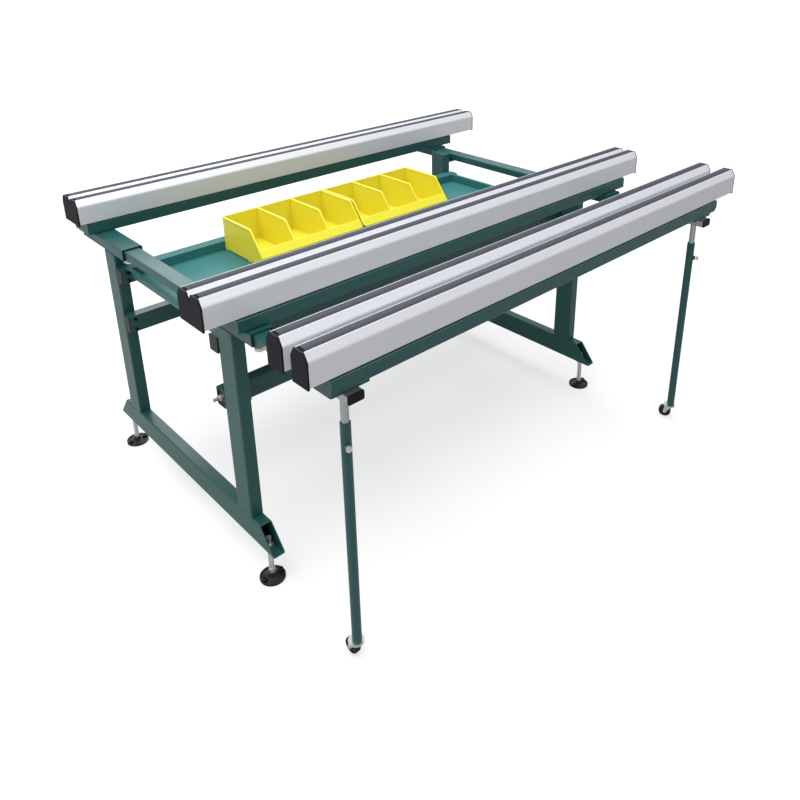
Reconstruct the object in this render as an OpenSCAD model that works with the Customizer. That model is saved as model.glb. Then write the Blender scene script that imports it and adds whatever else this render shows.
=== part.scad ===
// Extending assembly bench: two end frames, two telescopes, six grooved support profiles.
// Drawn from the left end frame (x), the front posts (y) and the floor (z), then centred.

/* [Overall] */
// Height of the grip strips above the floor
work_height = 987; // [970:1:1005]
// Length over the two end frames
frame_length = 1574; // [1520:2:1640]
// Depth of an end frame over its two posts
frame_depth = 830; // [800:2:860]
// Height of the foot beams above the floor
foot_beam_lift = 117; // [113:1:124]

/* [End frames] */
// Width of the posts and foot beams along the bench
frame_tube_width = 40; // [38:1:46]
// Depth of a post
post_depth = 80; // [74:1:88]
// Height of a foot beam
foot_beam_height = 80; // [70:1:90]
// Wall of the frame tubes
frame_wall = 3; // [2:0.5:4]
// Outer corner radius of the frame tubes
frame_corner = 5; // [3:0.5:8]
// How far a foot beam passes the posts at each end
foot_reach = 105; // [98:1:115]
// Slant of the cut ends of a foot beam
foot_bevel = 65; // [50:1:70]
// Thickness of the brackets on the right posts
bracket_thickness = 5; // [4:0.5:6]
// Leg length of the gusset under such a bracket
gusset_size = 50; // [35:1:60]

/* [Sleeves and crossbeams] */
// Width of a sleeve
sleeve_width = 70; // [66:1:76]
// Height of a sleeve
sleeve_height = 40; // [38:1:44]
// Wall of a sleeve
sleeve_wall = 3.5; // [2.5:0.5:4]
// Outer corner radius of a sleeve
sleeve_corner = 6; // [3:0.5:8]
// Space above a crossbeam in its sleeve
sleeve_play = 2.5; // [1:0.5:3.5]
// Space beside a crossbeam in its sleeve
sleeve_side_play = 4.5; // [3:0.5:6]
// Distance of the right sleeves from the right end frame
right_sleeve_offset = 16; // [12:1:24]
// How far the front sleeves pass the front posts
front_sleeve_reach = 103; // [99:1:110]
// How far the rear sleeves pass the rear posts
rear_sleeve_reach = 174; // [168:1:184]
// How far the left front sleeve passes the back of its post
left_front_sleeve_tail = 40; // [20:1:80]
// How far the left rear sleeve passes the front of its post
left_rear_sleeve_tail = 74; // [50:1:90]
// Gap between the right front sleeve and its post
right_front_sleeve_gap = 5; // [2:1:12]
// Gap between the right rear sleeve and its post
right_rear_sleeve_gap = 35; // [20:1:45]
// Wall of a crossbeam
crossbeam_wall = 2.5; // [2:0.5:3]
// Outer corner radius of a crossbeam
crossbeam_corner = 5; // [3:0.5:8]
// How far the upper edge of a crossbeam passes the front posts
crossbeam_reach = 171; // [160:1:180]
// Slant of the cut front end of a crossbeam
crossbeam_bevel = 47; // [30:1:50]

/* [Slide tubes] */
// Space above a slide tube in its crossbeam
slide_play = 1; // [0.5:0.5:2]
// Space beside a slide tube in its crossbeam
slide_side_play = 1; // [0.5:0.5:2]
// Wall of a slide tube
slide_wall = 2; // [1.5:0.5:3]
// Outer corner radius of a slide tube
slide_corner = 4; // [2:0.5:5]
// How far a slide tube passes the front posts
slide_reach = 486; // [482:1:500]
// Distance of its rear end from the rear end of the sleeve
slide_rear_gap = 19; // [5:1:40]
// Thickness of the lip of the front plug
plug_lip = 4; // [3:0.5:6]
// Depth of a plug in its tube
plug_depth = 10; // [6:1:14]

/* [Beams] */
// Height of the beams under the profiles
beam_height = 40; // [36:1:44]
// Wall of the beams
beam_wall = 3; // [2:0.5:4]
// Outer corner radius of the beams
beam_corner = 5; // [3:0.5:8]
// Thickness of the plates that close the beams
beam_end_plate = 4; // [3:0.5:6]
// How far the beams pass the left end frame
beam_left_reach = 24; // [15:1:30]
// How far the beams pass the right end frame
beam_right_reach = 135; // [120:1:150]
// How far the front beam passes the front posts
front_beam_reach = 88; // [84:1:92]
// Distance of the rear beam from the rear posts
rear_beam_gap = 50; // [44:1:54]
// Distance of the extension beam from the front ends of the slide tubes
extension_beam_setback = 8; // [6:1:14]
// Size of the cut lower corner at its right end
extension_beam_cut = 15; // [8:1:20]
// Side overhang of a mounting plate over its slide tube
mount_plate_overhang = 34; // [20:1:34]
// Distance of a mounting plate's edges from those of the extension beam
mount_plate_inset = 6; // [0:1:20]

/* [Support profiles] */
// How much longer a support profile is than the frame
profile_excess = 326; // [290:2:360]
// Width of a support profile
profile_width = 60; // [56:1:64]
// Height of a support profile without its strip
profile_height = 89; // [84:1:94]
// Width of the shoulder beside the groove
shoulder_width = 13; // [10:1:14]
// Height of the slanted shoulder
shoulder_height = 22; // [18:1:28]
// Wall of the profile
profile_wall = 3; // [2:0.5:3.5]
// Height of the inner web over the profile's foot
profile_web_height = 40; // [30:1:48]
// Sideways step of the profile's foot
profile_foot_inset = 10; // [4:1:12]
// Height of the profile's foot
profile_foot_height = 5; // [3:0.5:6]
// Depth of the groove for the strip
groove_depth = 5; // [4:0.5:7]
// Land between the shoulder and the groove
groove_land = 1.5; // [1:0.25:2.5]
// How far the strip stands out of the groove
strip_crown = 3; // [2:0.5:4]
// Radius of the domed top of the strip
strip_dome = 30; // [24:1:60]
// Distance of the strip's ends from the ends of the profile
strip_end_gap = 6; // [4:1:14]
// Thickness of an end cap
cap_thickness = 5; // [4:0.5:7]
// How far the front pair starts left of the end frame
front_pair_start = 112; // [105:1:120]
// How far the rear pair starts left of the end frame
rear_pair_start = 46; // [40:1:55]
// How far the extension pair starts left of the end frame
extension_pair_start = 77; // [70:1:85]
// Gap between the two profiles of the extension
extension_pair_gap = 36; // [30:1:42]

/* [Stretchers and trays] */
// Depth of a stretcher
stretcher_depth = 45; // [43:1:50]
// Height of an upper stretcher
upper_stretcher_height = 50; // [48:1:56]
// Height of a lower stretcher
lower_stretcher_height = 60; // [57:1:64]
// Distance of the upper stretchers from the sleeves
upper_stretcher_drop = 43; // [40:1:50]
// Distance of the lower stretchers from the upper ones
stretcher_spacing = 122; // [105:1:140]
// Wall of the stretchers
stretcher_wall = 3; // [2:0.5:3.5]
// Diameter of the stretcher bolts
bolt_diameter = 6; // [5:0.5:8]
// Diameter of the stud in the open end of a lower stretcher
stud_diameter = 10; // [8:0.5:12]
// Distance between the two upper bolts of a joint
upper_bolt_spacing = 28; // [24:1:30]
// Distance between the two lower bolts of a joint
lower_bolt_spacing = 38; // [37:1:42]
// Thickness of the tray sheet
tray_sheet = 2; // [1.5:0.5:3]
// Depth of a tray below the stretchers
tray_depth = 32; // [26:1:38]
// Width of a tray's rim over a stretcher
tray_rim = 42; // [36:1:42]
// Distance of a tray's end wall from the end of the frame
tray_end_inset = 32; // [31:1:36]
// Length of the left tray
left_tray_length = 788; // [780:1:796]
// Height of the wall between the trays above the rims
tray_divider_rise = 12; // [4:1:16]

/* [Bins] */
// Width of one bin
bin_width = 146; // [136:1:150]
// Depth of a bin from its back to its front nose
bin_depth = 252; // [240:1:260]
// Height of a bin
bin_height = 121; // [114:1:128]
// Distance of the break in a bin's top edge from its back
bin_break_depth = 183; // [165:1:195]
// Height of the front nose
bin_nose_height = 33; // [26:1:40]
// How far the floor ends behind the nose
bin_undercut = 26; // [16:1:30]
// Height of the front lip
bin_lip_height = 58; // [48:1:66]
// Width of the thick rim along the upper edges
bin_rim = 6; // [4:1:8]
// Wall of a bin
bin_wall = 3; // [2:0.5:3.5]
// Height of the runners under a bin block
bin_runner_height = 4; // [3:0.5:6]

/* [Legs and casters] */
// Distance of the legs' axes from the front ends of the slide tubes
leg_setback = 44; // [40:1:60]
// Outer diameter of the inner leg tube
leg_inner_diameter = 20.5; // [19:0.5:22]
// Outer diameter of the outer leg tube
leg_outer_diameter = 27; // [26:0.5:30]
// Wall of the inner leg tube
leg_inner_wall = 2; // [1.5:0.5:3]
// Length of bare inner tube between a slide tube and its outer leg tube
leg_bare_length = 76; // [66:1:90]
// Height of the bottom of the outer leg tube
leg_tube_bottom = 53; // [53:1:58]
// Distance of the leg clamp from the top of the outer leg tube
leg_clamp_drop = 58; // [40:1:80]
// How far the inner leg tube reaches into the outer one
leg_overlap = 380; // [300:5:440]
// Diameter of a caster wheel
wheel_diameter = 46; // [40:1:48]
// Width of a caster wheel
wheel_width = 22; // [16:1:24]
// Sideways distance of the wheel's axle from the leg's axis
caster_trail = 19; // [16:1:22]
// Diameter of the axle
axle_diameter = 8; // [6:0.5:9]
// Thickness of the fork's cheeks
fork_sheet = 2; // [1.5:0.5:3]

/* [Levelling feet] */
// Diameter of a foot's stem
stem_diameter = 16; // [14:0.5:18]
// Height of the top of the stem
stem_top = 153; // [148:1:165]
// Distance of the stems from the ends of the foot beams
stem_inset = 53; // [46:1:56]
// Diameter of a foot's pad
pad_diameter = 78; // [72:1:84]
// Distance between the two floor holes of a pad
pad_hole_spacing = 56; // [52:1:58]
// Diameter of the floor holes
pad_hole_diameter = 9; // [6:0.5:10]
// Diameter of the stem's collar above the pad
collar_diameter = 21; // [19:0.5:24]

/* [Hidden] */
arc_steps = 48;
running_gap = 0.05;
small_gap = 0.3;
cap_side_gap = 0.2;
cut_over = 1;
min_corner = 0.8;
knee_radius = 15;
strip_side_gap = 1;
strip_land_cut = 0.6;
bins_in_block = 3;

paint = "#3f6f66";
bare_aluminium = "#c6c8cc";
strip_grey = "#6a6a72";
cap_grey = "#3a3a3e";
bin_yellow = "#e0d42a";
zinc = "#b8bcc0";
black_plastic = "#202224";
tyre_black = "#1c1c1e";

// Heights, from the top down
profile_bottom = work_height - strip_crown - profile_height;
beam_bottom = profile_bottom - beam_height;
sleeve_bottom = beam_bottom - sleeve_height;
crossbeam_width = sleeve_width - 2 * sleeve_wall - 2 * sleeve_side_play;
crossbeam_height = sleeve_height - 2 * sleeve_wall - sleeve_play;
crossbeam_bottom = sleeve_bottom + sleeve_wall;
crossbeam_top = crossbeam_bottom + crossbeam_height;
slide_width = crossbeam_width - 2 * crossbeam_wall - 2 * slide_side_play;
slide_height = crossbeam_height - 2 * crossbeam_wall - slide_play;
slide_bottom = crossbeam_bottom + crossbeam_wall;
slide_top = slide_bottom + slide_height;
foot_beam_top = foot_beam_lift + foot_beam_height;
upper_stretcher_top = sleeve_bottom - upper_stretcher_drop;
upper_stretcher_bottom = upper_stretcher_top - upper_stretcher_height;
lower_stretcher_top = upper_stretcher_bottom - stretcher_spacing;
lower_stretcher_lift = lower_stretcher_top - lower_stretcher_height;
bracket_bottom = crossbeam_bottom - bracket_thickness;
leg_tube_top = slide_bottom - leg_bare_length;
leg_clamp_height = leg_tube_top - leg_clamp_drop;
leg_inner_bottom = leg_tube_top - leg_overlap;

// Lengths along the bench
profile_length = frame_length + profile_excess;
right_frame_x = frame_length - frame_tube_width;
right_sleeve_x = frame_length + right_sleeve_offset;
sleeve_mid = sleeve_width / 2;
left_leg_x = sleeve_mid;
right_leg_x = right_sleeve_x + sleeve_mid;
beam_right_end = frame_length + beam_right_reach;
bracket_right = right_sleeve_x + sleeve_width;

// Depths
rear_post_y = frame_depth - post_depth;
sleeve_rear_end = frame_depth + rear_sleeve_reach;
slide_rear_end = sleeve_rear_end - slide_rear_gap;
bench_beam_depth = 2 * profile_width - 4;
extension_beam_depth = 2 * profile_width + extension_pair_gap + 4;
front_beam_y = -front_beam_reach;
rear_beam_y = frame_depth + rear_beam_gap;
extension_beam_y = -slide_reach + extension_beam_setback;
profile_front_step = 2;
front_outer_y = front_beam_y + profile_front_step;
front_inner_y = front_outer_y + profile_width;
rear_inner_y = rear_beam_y - 2 * profile_front_step;
rear_outer_y = rear_inner_y + profile_width;
extension_front_y = extension_beam_y + profile_front_step;
extension_rear_y = extension_front_y + profile_width + extension_pair_gap;
leg_y = -slide_reach + leg_setback;
foot_front_y = -foot_reach;
foot_rear_y = frame_depth + foot_reach;
stem_front_y = foot_front_y + stem_inset;
stem_rear_y = foot_rear_y - stem_inset;
stretcher_back = post_depth + stretcher_depth;

// Middle of the outline, so that the origin lies under its centre
x_low = -max(front_pair_start, rear_pair_start, extension_pair_start) - cap_thickness;
x_high = profile_length + cap_thickness - min(front_pair_start, rear_pair_start, extension_pair_start);
y_low = -slide_reach - plug_lip;
y_high = max(sleeve_rear_end, rear_outer_y + profile_width);
x_mid = (x_low + x_high) / 2;
y_mid = (y_low + y_high) / 2;

// Sizes of the small hardware
washer_thickness = 2;
head_radius = 0.85 * bolt_diameter;
head_socket_radius = 0.48 * bolt_diameter;
bolt_nut = 0.8 * bolt_diameter;
stud_nut = 0.8 * stud_diameter;
hex_ratio = 0.95;
bolt_tail = 3;
stud_reach = 24;
stem_nut_height = 10;
clamp_screw_radius = 4;
clamp_boss_radius = 9;
clamp_boss_height = 8;
clamp_knob_radius = 13;
clamp_knob_height = 9;
clamp_offset = 23;
rear_clamp_offset = 15;
clamp_post_gap = 4;
clamp_drop = 11;
knob_shank_radius = 4;
knob_under_x = 86;
leg_nut_depth = 6;
leg_nut_radius = 8.5;
leg_head_radius = 8;
leg_head_length = 8;
leg_screw_reach = 4;
knob_cap_radius = 6;
wheel_radius = wheel_diameter / 2;
fork_gap = 1;
fork_plate_radius = 22;
fork_plate_shift = 4;
fork_plate_bottom = wheel_diameter + 1.5;
fork_plate_top = leg_tube_bottom - 0.5;
fork_stem_radius = 5;
fork_stem_length = 28;
leg_plug_length = 34;
fork_boss_radius = 6;
fork_cheek_rear = -6;
fork_cheek_front = 20;
left_trail_angle = 90;
right_trail_angle = 115;
left_clamp_angle = -115;
right_clamp_angle = -65;

module place() {
    translate([-x_mid, -y_mid, 0])
    children();
}

module along_x(x0, x1) {
    translate([x0, 0, 0])
    rotate([90, 0, 90])
    linear_extrude(x1 - x0)
    children();
}

module along_y(y0, y1) {
    translate([0, y1, 0])
    rotate([90, 0, 0])
    linear_extrude(y1 - y0)
    children();
}

module along_z(z0, z1) {
    translate([0, 0, z0])
    linear_extrude(z1 - z0)
    children();
}

module block(x0, x1, y0, y1, z0, z1) {
    translate([x0, y0, z0])
    cube([x1 - x0, y1 - y0, z1 - z0]);
}

// A rectangle with round corners, its low corner at the origin
module round_rect(w, h, r) {
    translate([r, 0])
    square([w - 2 * r, h]);
    translate([0, r])
    square([w, h - 2 * r]);
    for (u = [r, w - r])
        for (v = [r, h - r])
            translate([u, v])
            circle(r = r, $fn = arc_steps);
}

module tube_section(w, h, wall, r) {
    difference() {
        round_rect(w, h, r);
        translate([wall, wall])
        round_rect(w - 2 * wall, h - 2 * wall, max(r - wall, min_corner));
    }
}

module rod_x(x0, x1, y, z, r) {
    translate([x0, y, z])
    rotate([0, 90, 0])
    cylinder(r = r, h = x1 - x0, $fn = arc_steps);
}

module rod_y(y0, y1, x, z, r) {
    translate([x, y1, z])
    rotate([90, 0, 0])
    cylinder(r = r, h = y1 - y0, $fn = arc_steps);
}

module rod_z(z0, z1, x, y, r) {
    translate([x, y, z0])
    cylinder(r = r, h = z1 - z0, $fn = arc_steps);
}

module rear_side() {
    translate([0, frame_depth, 0])
    mirror([0, 1, 0])
    children();
}

// Heights of the bolts of one stretcher joint
function bolt_heights(mid, spacing) = [mid - spacing / 2, mid + spacing / 2];
upper_bolts = bolt_heights(upper_stretcher_top - upper_stretcher_height / 2, upper_bolt_spacing);
lower_bolts = bolt_heights(lower_stretcher_lift + lower_stretcher_height / 2, lower_bolt_spacing);
bolt_columns = [frame_tube_width / 2, frame_length - frame_tube_width / 2];

// Bolt holes for the front half of the frame
module bolt_holes(x, zs) {
    for (z = zs)
        rod_y(post_depth - 2 * frame_wall, stretcher_back + cut_over, x, z,
              bolt_diameter / 2 + running_gap);
}

module foot_beam(x) {
    color(paint)
    difference() {
        intersection() {
            along_y(foot_front_y, foot_rear_y)
            translate([x, foot_beam_lift])
            tube_section(frame_tube_width, foot_beam_height, frame_wall, frame_corner);
            along_x(x - cut_over, x + frame_tube_width + cut_over)
            polygon([[foot_front_y, foot_beam_lift], [foot_rear_y, foot_beam_lift],
                     [foot_rear_y - foot_bevel, foot_beam_top],
                     [foot_front_y + foot_bevel, foot_beam_top]]);
        }
        for (y = [stem_front_y, stem_rear_y])
            rod_z(foot_beam_lift - cut_over, foot_beam_lift + frame_wall + cut_over,
                  x + frame_tube_width / 2, y, stem_diameter / 2 + running_gap);
    }
}

module front_post(x, top) {
    difference() {
        along_z(foot_beam_top, top)
        translate([x, 0])
        tube_section(frame_tube_width, post_depth, frame_wall, frame_corner);
        bolt_holes(x + frame_tube_width / 2, upper_bolts);
        bolt_holes(x + frame_tube_width / 2, lower_bolts);
    }
}

// The right posts reach up to the beams and are closed on top
module right_post() {
    front_post(right_frame_x, beam_bottom);
    along_z(beam_bottom - frame_wall, beam_bottom)
    translate([right_frame_x, 0])
    round_rect(frame_tube_width, post_depth, frame_corner);
}

// The right crossbeam runs beside its posts, so a bracket with a gusset carries it
module crossbeam_bracket(y) {
    gusset_y = y + post_depth - frame_corner - bracket_thickness;
    block(frame_length - frame_wall / 2, bracket_right, y + frame_corner,
          y + post_depth - frame_corner, bracket_bottom, crossbeam_bottom);
    along_y(gusset_y, gusset_y + bracket_thickness)
    polygon([[frame_length - cut_over, bracket_bottom + cut_over],
             [frame_length + gusset_size, bracket_bottom + cut_over],
             [frame_length - cut_over, bracket_bottom - gusset_size]]);
}

module left_front_post() {
    color(paint)
    front_post(0, sleeve_bottom);
}

module left_rear_post() {
    color(paint)
    rear_side()
    front_post(0, sleeve_bottom);
}

module right_front_post() {
    color(paint) {
        right_post();
        crossbeam_bracket(0);
    }
}

module right_rear_post() {
    color(paint) {
        rear_side()
        right_post();
        crossbeam_bracket(rear_post_y);
    }
}

// A sleeve with the threaded boss of its clamp screw
module sleeve(x, y0, y1, clamp_y) {
    color(paint)
    difference() {
        union() {
            along_y(y0, y1)
            translate([x, sleeve_bottom])
            tube_section(sleeve_width, sleeve_height, sleeve_wall, sleeve_corner);
            rod_z(sleeve_bottom - clamp_boss_height, sleeve_bottom + sleeve_wall / 2,
                  x + sleeve_mid, clamp_y, clamp_boss_radius);
        }
        rod_z(sleeve_bottom - clamp_boss_height - cut_over,
              sleeve_bottom + sleeve_wall + cut_over,
              x + sleeve_mid, clamp_y, clamp_screw_radius + running_gap);
    }
}

front_clamp_y = -front_sleeve_reach + clamp_offset;
left_rear_clamp_y = rear_post_y - clamp_knob_radius - clamp_post_gap;
right_rear_clamp_y = frame_depth + right_rear_sleeve_gap + rear_clamp_offset;

module left_front_sleeve() {
    sleeve(0, -front_sleeve_reach, post_depth + left_front_sleeve_tail, front_clamp_y);
}

module left_rear_sleeve() {
    sleeve(0, rear_post_y - left_rear_sleeve_tail, sleeve_rear_end, left_rear_clamp_y);
}

module right_front_sleeve() {
    sleeve(right_sleeve_x, -front_sleeve_reach, -right_front_sleeve_gap, front_clamp_y);
}

module right_rear_sleeve() {
    sleeve(right_sleeve_x, frame_depth + right_rear_sleeve_gap, sleeve_rear_end,
           right_rear_clamp_y);
}

// Round-headed clamp screw whose tip presses on the crossbeam
module sleeve_clamp(x, y) {
    knob_top = sleeve_bottom - clamp_boss_height - clamp_drop;
    color(zinc) {
        rod_z(knob_top - cut_over, crossbeam_bottom, x, y, clamp_screw_radius);
        rod_z(knob_top - clamp_knob_height, knob_top, x, y, clamp_knob_radius);
        rod_z(knob_top - clamp_knob_height - 3, knob_top - cut_over, x, y, knob_cap_radius);
    }
}

module crossbeam(x) {
    front_y = -crossbeam_reach;
    color(paint)
    intersection() {
        along_y(front_y, sleeve_rear_end)
        translate([x + sleeve_mid - crossbeam_width / 2, crossbeam_bottom])
        tube_section(crossbeam_width, crossbeam_height, crossbeam_wall, crossbeam_corner);
        along_x(x, x + sleeve_width)
        polygon([[front_y, crossbeam_top], [sleeve_rear_end, crossbeam_top],
                 [sleeve_rear_end, crossbeam_bottom],
                 [front_y + crossbeam_bevel, crossbeam_bottom]]);
    }
}

module slide_tube(mid) {
    color(zinc)
    along_y(-slide_reach, slide_rear_end)
    translate([mid - slide_width / 2, slide_bottom])
    tube_section(slide_width, slide_height, slide_wall, slide_corner);
}

module slide_plug(mid) {
    inner_gap = slide_wall + small_gap;
    along_y(-slide_reach - plug_lip, -slide_reach)
    translate([mid - slide_width / 2, slide_bottom])
    round_rect(slide_width, slide_height, slide_corner);
    along_y(-slide_reach - cut_over, -slide_reach + plug_depth)
    translate([mid - slide_width / 2 + inner_gap, slide_bottom + inner_gap])
    round_rect(slide_width - 2 * inner_gap, slide_height - 2 * inner_gap, min_corner * 2);
}

// A beam is a tube along the bench, closed by a plate at each end
module beam(y, depth) {
    plate = beam_end_plate;
    along_x(-beam_left_reach + plate / 2, beam_right_end - plate / 2)
    translate([y, beam_bottom])
    tube_section(depth, beam_height, beam_wall, beam_corner);
    for (x = [-beam_left_reach, beam_right_end - plate])
        along_x(x, x + plate)
        translate([y, beam_bottom])
        round_rect(depth, beam_height, beam_corner);
}

module front_beam() {
    color(paint)
    beam(front_beam_y, bench_beam_depth);
}

module rear_beam() {
    color(paint)
    beam(rear_beam_y, bench_beam_depth);
}

module extension_beam() {
    y = extension_beam_y;
    depth = extension_beam_depth;
    cut = extension_beam_cut;
    plate = beam_end_plate;
    color(paint) {
        difference() {
            beam(y, depth);
            along_y(y - cut_over, y + depth + cut_over)
            polygon([[beam_right_end - cut, beam_bottom - cut_over],
                     [beam_right_end + cut_over, beam_bottom - cut_over],
                     [beam_right_end + cut_over, beam_bottom + cut]]);
        }
        along_y(y + beam_wall / 2, y + depth - beam_wall / 2)
        polygon([[beam_right_end - cut, beam_bottom],
                 [beam_right_end, beam_bottom + cut + 1],
                 [beam_right_end - plate, beam_bottom + cut + 1],
                 [beam_right_end - cut - plate, beam_bottom]]);
    }
}

module extension_mount_plates() {
    y0 = extension_beam_y + mount_plate_inset;
    y1 = extension_beam_y + extension_beam_depth - mount_plate_inset;
    half = slide_width / 2 + mount_plate_overhang;
    color(paint)
    for (mid = [left_leg_x, right_leg_x])
        along_z(slide_top, beam_bottom)
        translate([mid - half, y0])
        round_rect(2 * half, y1 - y0, 6);
}

shoulder_angle = atan2(shoulder_width, shoulder_height);
knee_cut = knee_radius * tan(shoulder_angle / 2);

// Upper outline of the support profile: slanted shoulders with rounded knees
module profile_outline(low) {
    w = profile_width;
    h = profile_height;
    knee = h - shoulder_height;
    over_u = knee_cut * sin(shoulder_angle);
    over_v = knee_cut * cos(shoulder_angle);
    polygon([[0, low], [w, low], [w, knee - knee_cut], [w - over_u, knee + over_v],
             [w - shoulder_width, h], [shoulder_width, h], [over_u, knee + over_v],
             [0, knee - knee_cut]]);
    for (u = [knee_radius, w - knee_radius])
        translate([u, knee - knee_cut])
        circle(r = knee_radius, $fn = arc_steps);
}

module profile_chambers() {
    w = profile_width;
    t = profile_wall;
    knee = profile_height - shoulder_height;
    slope = shoulder_width / shoulder_height;
    ceiling = profile_height - groove_depth - t;
    skew = t * sqrt(1 + slope * slope);
    roof = (ceiling - knee) * slope + skew;
    inner_knee = knee + (t - skew) / slope;
    web = profile_web_height;
    foot = profile_foot_height;
    polygon([[t, web + t], [w - t, web + t], [w - t, inner_knee], [w - roof, ceiling],
             [roof, ceiling], [t, inner_knee]]);
    for (u = [t, w / 2 + t / 2])
        translate([u, foot + t])
        round_rect(w / 2 - 1.5 * t, web - foot - t, 2);
}

groove_low = shoulder_width + groove_land;
groove_width = profile_width - 2 * groove_low;

module profile_section() {
    difference() {
        union() {
            profile_outline(profile_foot_height);
            translate([profile_foot_inset, 0])
            square([profile_width - 2 * profile_foot_inset, profile_foot_height + cut_over]);
        }
        profile_chambers();
        translate([groove_low, profile_height - groove_depth])
        square([groove_width, groove_depth + cut_over]);
    }
}

module support_profile(x, y) {
    color(bare_aluminium)
    along_x(x, x + profile_length)
    translate([y, profile_bottom])
    profile_section();
}

// Section of the grip strip: domed over its flanks, with a flat land along the middle
module strip_section() {
    width = groove_width - 2 * strip_side_gap;
    height = groove_depth + strip_crown;
    intersection() {
        square([width, height]);
        translate([width / 2, height + strip_land_cut - strip_dome])
        circle(r = strip_dome, $fn = 2 * arc_steps);
    }
}

module grip_strip(x, y) {
    color(strip_grey)
    along_x(x + strip_end_gap, x + profile_length - strip_end_gap)
    translate([y + groove_low + strip_side_gap, profile_bottom + profile_height - groove_depth])
    strip_section();
}

// The cap follows the profile's outline, a little narrower than the profile
module cap_section() {
    intersection() {
        profile_outline(0);
        translate([cap_side_gap, 0])
        square([profile_width - 2 * cap_side_gap, profile_height]);
    }
}

// Two end caps of one profile, each with a nib in the groove under the strip's top
module profile_caps(x, y) {
    right = x + profile_length;
    nib = strip_end_gap - 1;
    groove_z = profile_bottom + profile_height - groove_depth;
    for (x0 = [x - cap_thickness, right])
        along_x(x0, x0 + cap_thickness)
        translate([y, profile_bottom])
        cap_section();
    for (x0 = [x - cut_over, right - nib])
        along_x(x0, x0 + nib + cut_over)
        translate([y + groove_low, groove_z])
        square([groove_width, groove_depth / 2]);
}

front_pair_x = -front_pair_start;
rear_pair_x = -rear_pair_start;
extension_pair_x = -extension_pair_start;

module front_profile_outer() {
    support_profile(front_pair_x, front_outer_y);
}

module front_profile_inner() {
    support_profile(front_pair_x, front_inner_y);
}

module rear_profile_inner() {
    support_profile(rear_pair_x, rear_inner_y);
}

module rear_profile_outer() {
    support_profile(rear_pair_x, rear_outer_y);
}

module extension_profile_front() {
    support_profile(extension_pair_x, extension_front_y);
}

module extension_profile_rear() {
    support_profile(extension_pair_x, extension_rear_y);
}

module bench_strips() {
    for (y = [front_outer_y, front_inner_y])
        grip_strip(front_pair_x, y);
    for (y = [rear_inner_y, rear_outer_y])
        grip_strip(rear_pair_x, y);
}

module bench_end_caps() {
    color(cap_grey) {
        for (y = [front_outer_y, front_inner_y])
            profile_caps(front_pair_x, y);
        for (y = [rear_inner_y, rear_outer_y])
            profile_caps(rear_pair_x, y);
    }
}

module extension_strips() {
    for (y = [extension_front_y, extension_rear_y])
        grip_strip(extension_pair_x, y);
}

module extension_plastic_caps() {
    color(cap_grey) {
        for (y = [extension_front_y, extension_rear_y])
            profile_caps(extension_pair_x, y);
        for (mid = [left_leg_x, right_leg_x])
            slide_plug(mid);
    }
}

// A stretcher behind the front posts; the rear ones are its mirror image
module stretcher(bottom, height, zs) {
    difference() {
        along_x(0, frame_length)
        translate([post_depth, bottom])
        tube_section(stretcher_depth, height, stretcher_wall, frame_corner);
        for (x = bolt_columns)
            bolt_holes(x, zs);
    }
}

module front_upper_stretcher() {
    color(paint)
    stretcher(upper_stretcher_bottom, upper_stretcher_height, upper_bolts);
}

module rear_upper_stretcher() {
    color(paint)
    rear_side()
    stretcher(upper_stretcher_bottom, upper_stretcher_height, upper_bolts);
}

module front_lower_stretcher() {
    color(paint)
    difference() {
        stretcher(lower_stretcher_lift, lower_stretcher_height, lower_bolts);
        rod_z(lower_stretcher_lift - cut_over, lower_stretcher_lift + stretcher_wall + cut_over,
              knob_under_x, stretcher_mid_y, knob_shank_radius + running_gap);
    }
}

module rear_lower_stretcher() {
    color(paint)
    rear_side()
    stretcher(lower_stretcher_lift, lower_stretcher_height, lower_bolts);
}

stretcher_mid_y = post_depth + stretcher_depth / 2;
stud_z = lower_stretcher_lift + lower_stretcher_height / 2;
insert_inset = 4;
insert_thickness = 4;
insert_gap = stretcher_wall + small_gap;

module plug_outline(bottom, height, gap) {
    translate([post_depth + gap, bottom + gap])
    round_rect(stretcher_depth - 2 * gap, height - 2 * gap, max(frame_corner - gap, min_corner));
}

// Plugs of one stretcher, a lip outside and a body inside each end
module end_plug_pair(bottom, height) {
    lip = 3;
    for (x0 = [-lip, frame_length])
        along_x(x0, x0 + lip)
        plug_outline(bottom, height, 0);
    for (x0 = [-cut_over, frame_length - plug_depth / 2])
        along_x(x0, x0 + plug_depth / 2 + cut_over)
        plug_outline(bottom, height, insert_gap);
}

module stretcher_end_plugs() {
    color(black_plastic) {
        end_plug_pair(upper_stretcher_bottom, upper_stretcher_height);
        rear_side() {
            end_plug_pair(upper_stretcher_bottom, upper_stretcher_height);
            end_plug_pair(lower_stretcher_lift, lower_stretcher_height);
        }
        for (x0 = [insert_inset, frame_length - insert_inset - insert_thickness])
            difference() {
                along_x(x0, x0 + insert_thickness)
                plug_outline(lower_stretcher_lift, lower_stretcher_height, stretcher_wall);
                rod_x(x0 - cut_over, x0 + insert_thickness + cut_over, stretcher_mid_y, stud_z,
                      stud_diameter / 2 + running_gap);
            }
        rod_z(lower_stretcher_lift - 16, lower_stretcher_lift - washer_thickness,
              knob_under_x, stretcher_mid_y, clamp_boss_radius);
        rod_z(lower_stretcher_lift - 4, lower_stretcher_lift + stretcher_wall + 10,
              knob_under_x, stretcher_mid_y, knob_shank_radius);
    }
}

// Hexagon across its flats, cut round for the shaft in it
module hex_nut(height, shaft_radius) {
    difference() {
        cylinder(r = 2 * shaft_radius * hex_ratio, h = height, $fn = 6);
        translate([0, 0, -cut_over])
        cylinder(r = shaft_radius + running_gap, h = height + 2 * cut_over, $fn = arc_steps);
    }
}

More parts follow.
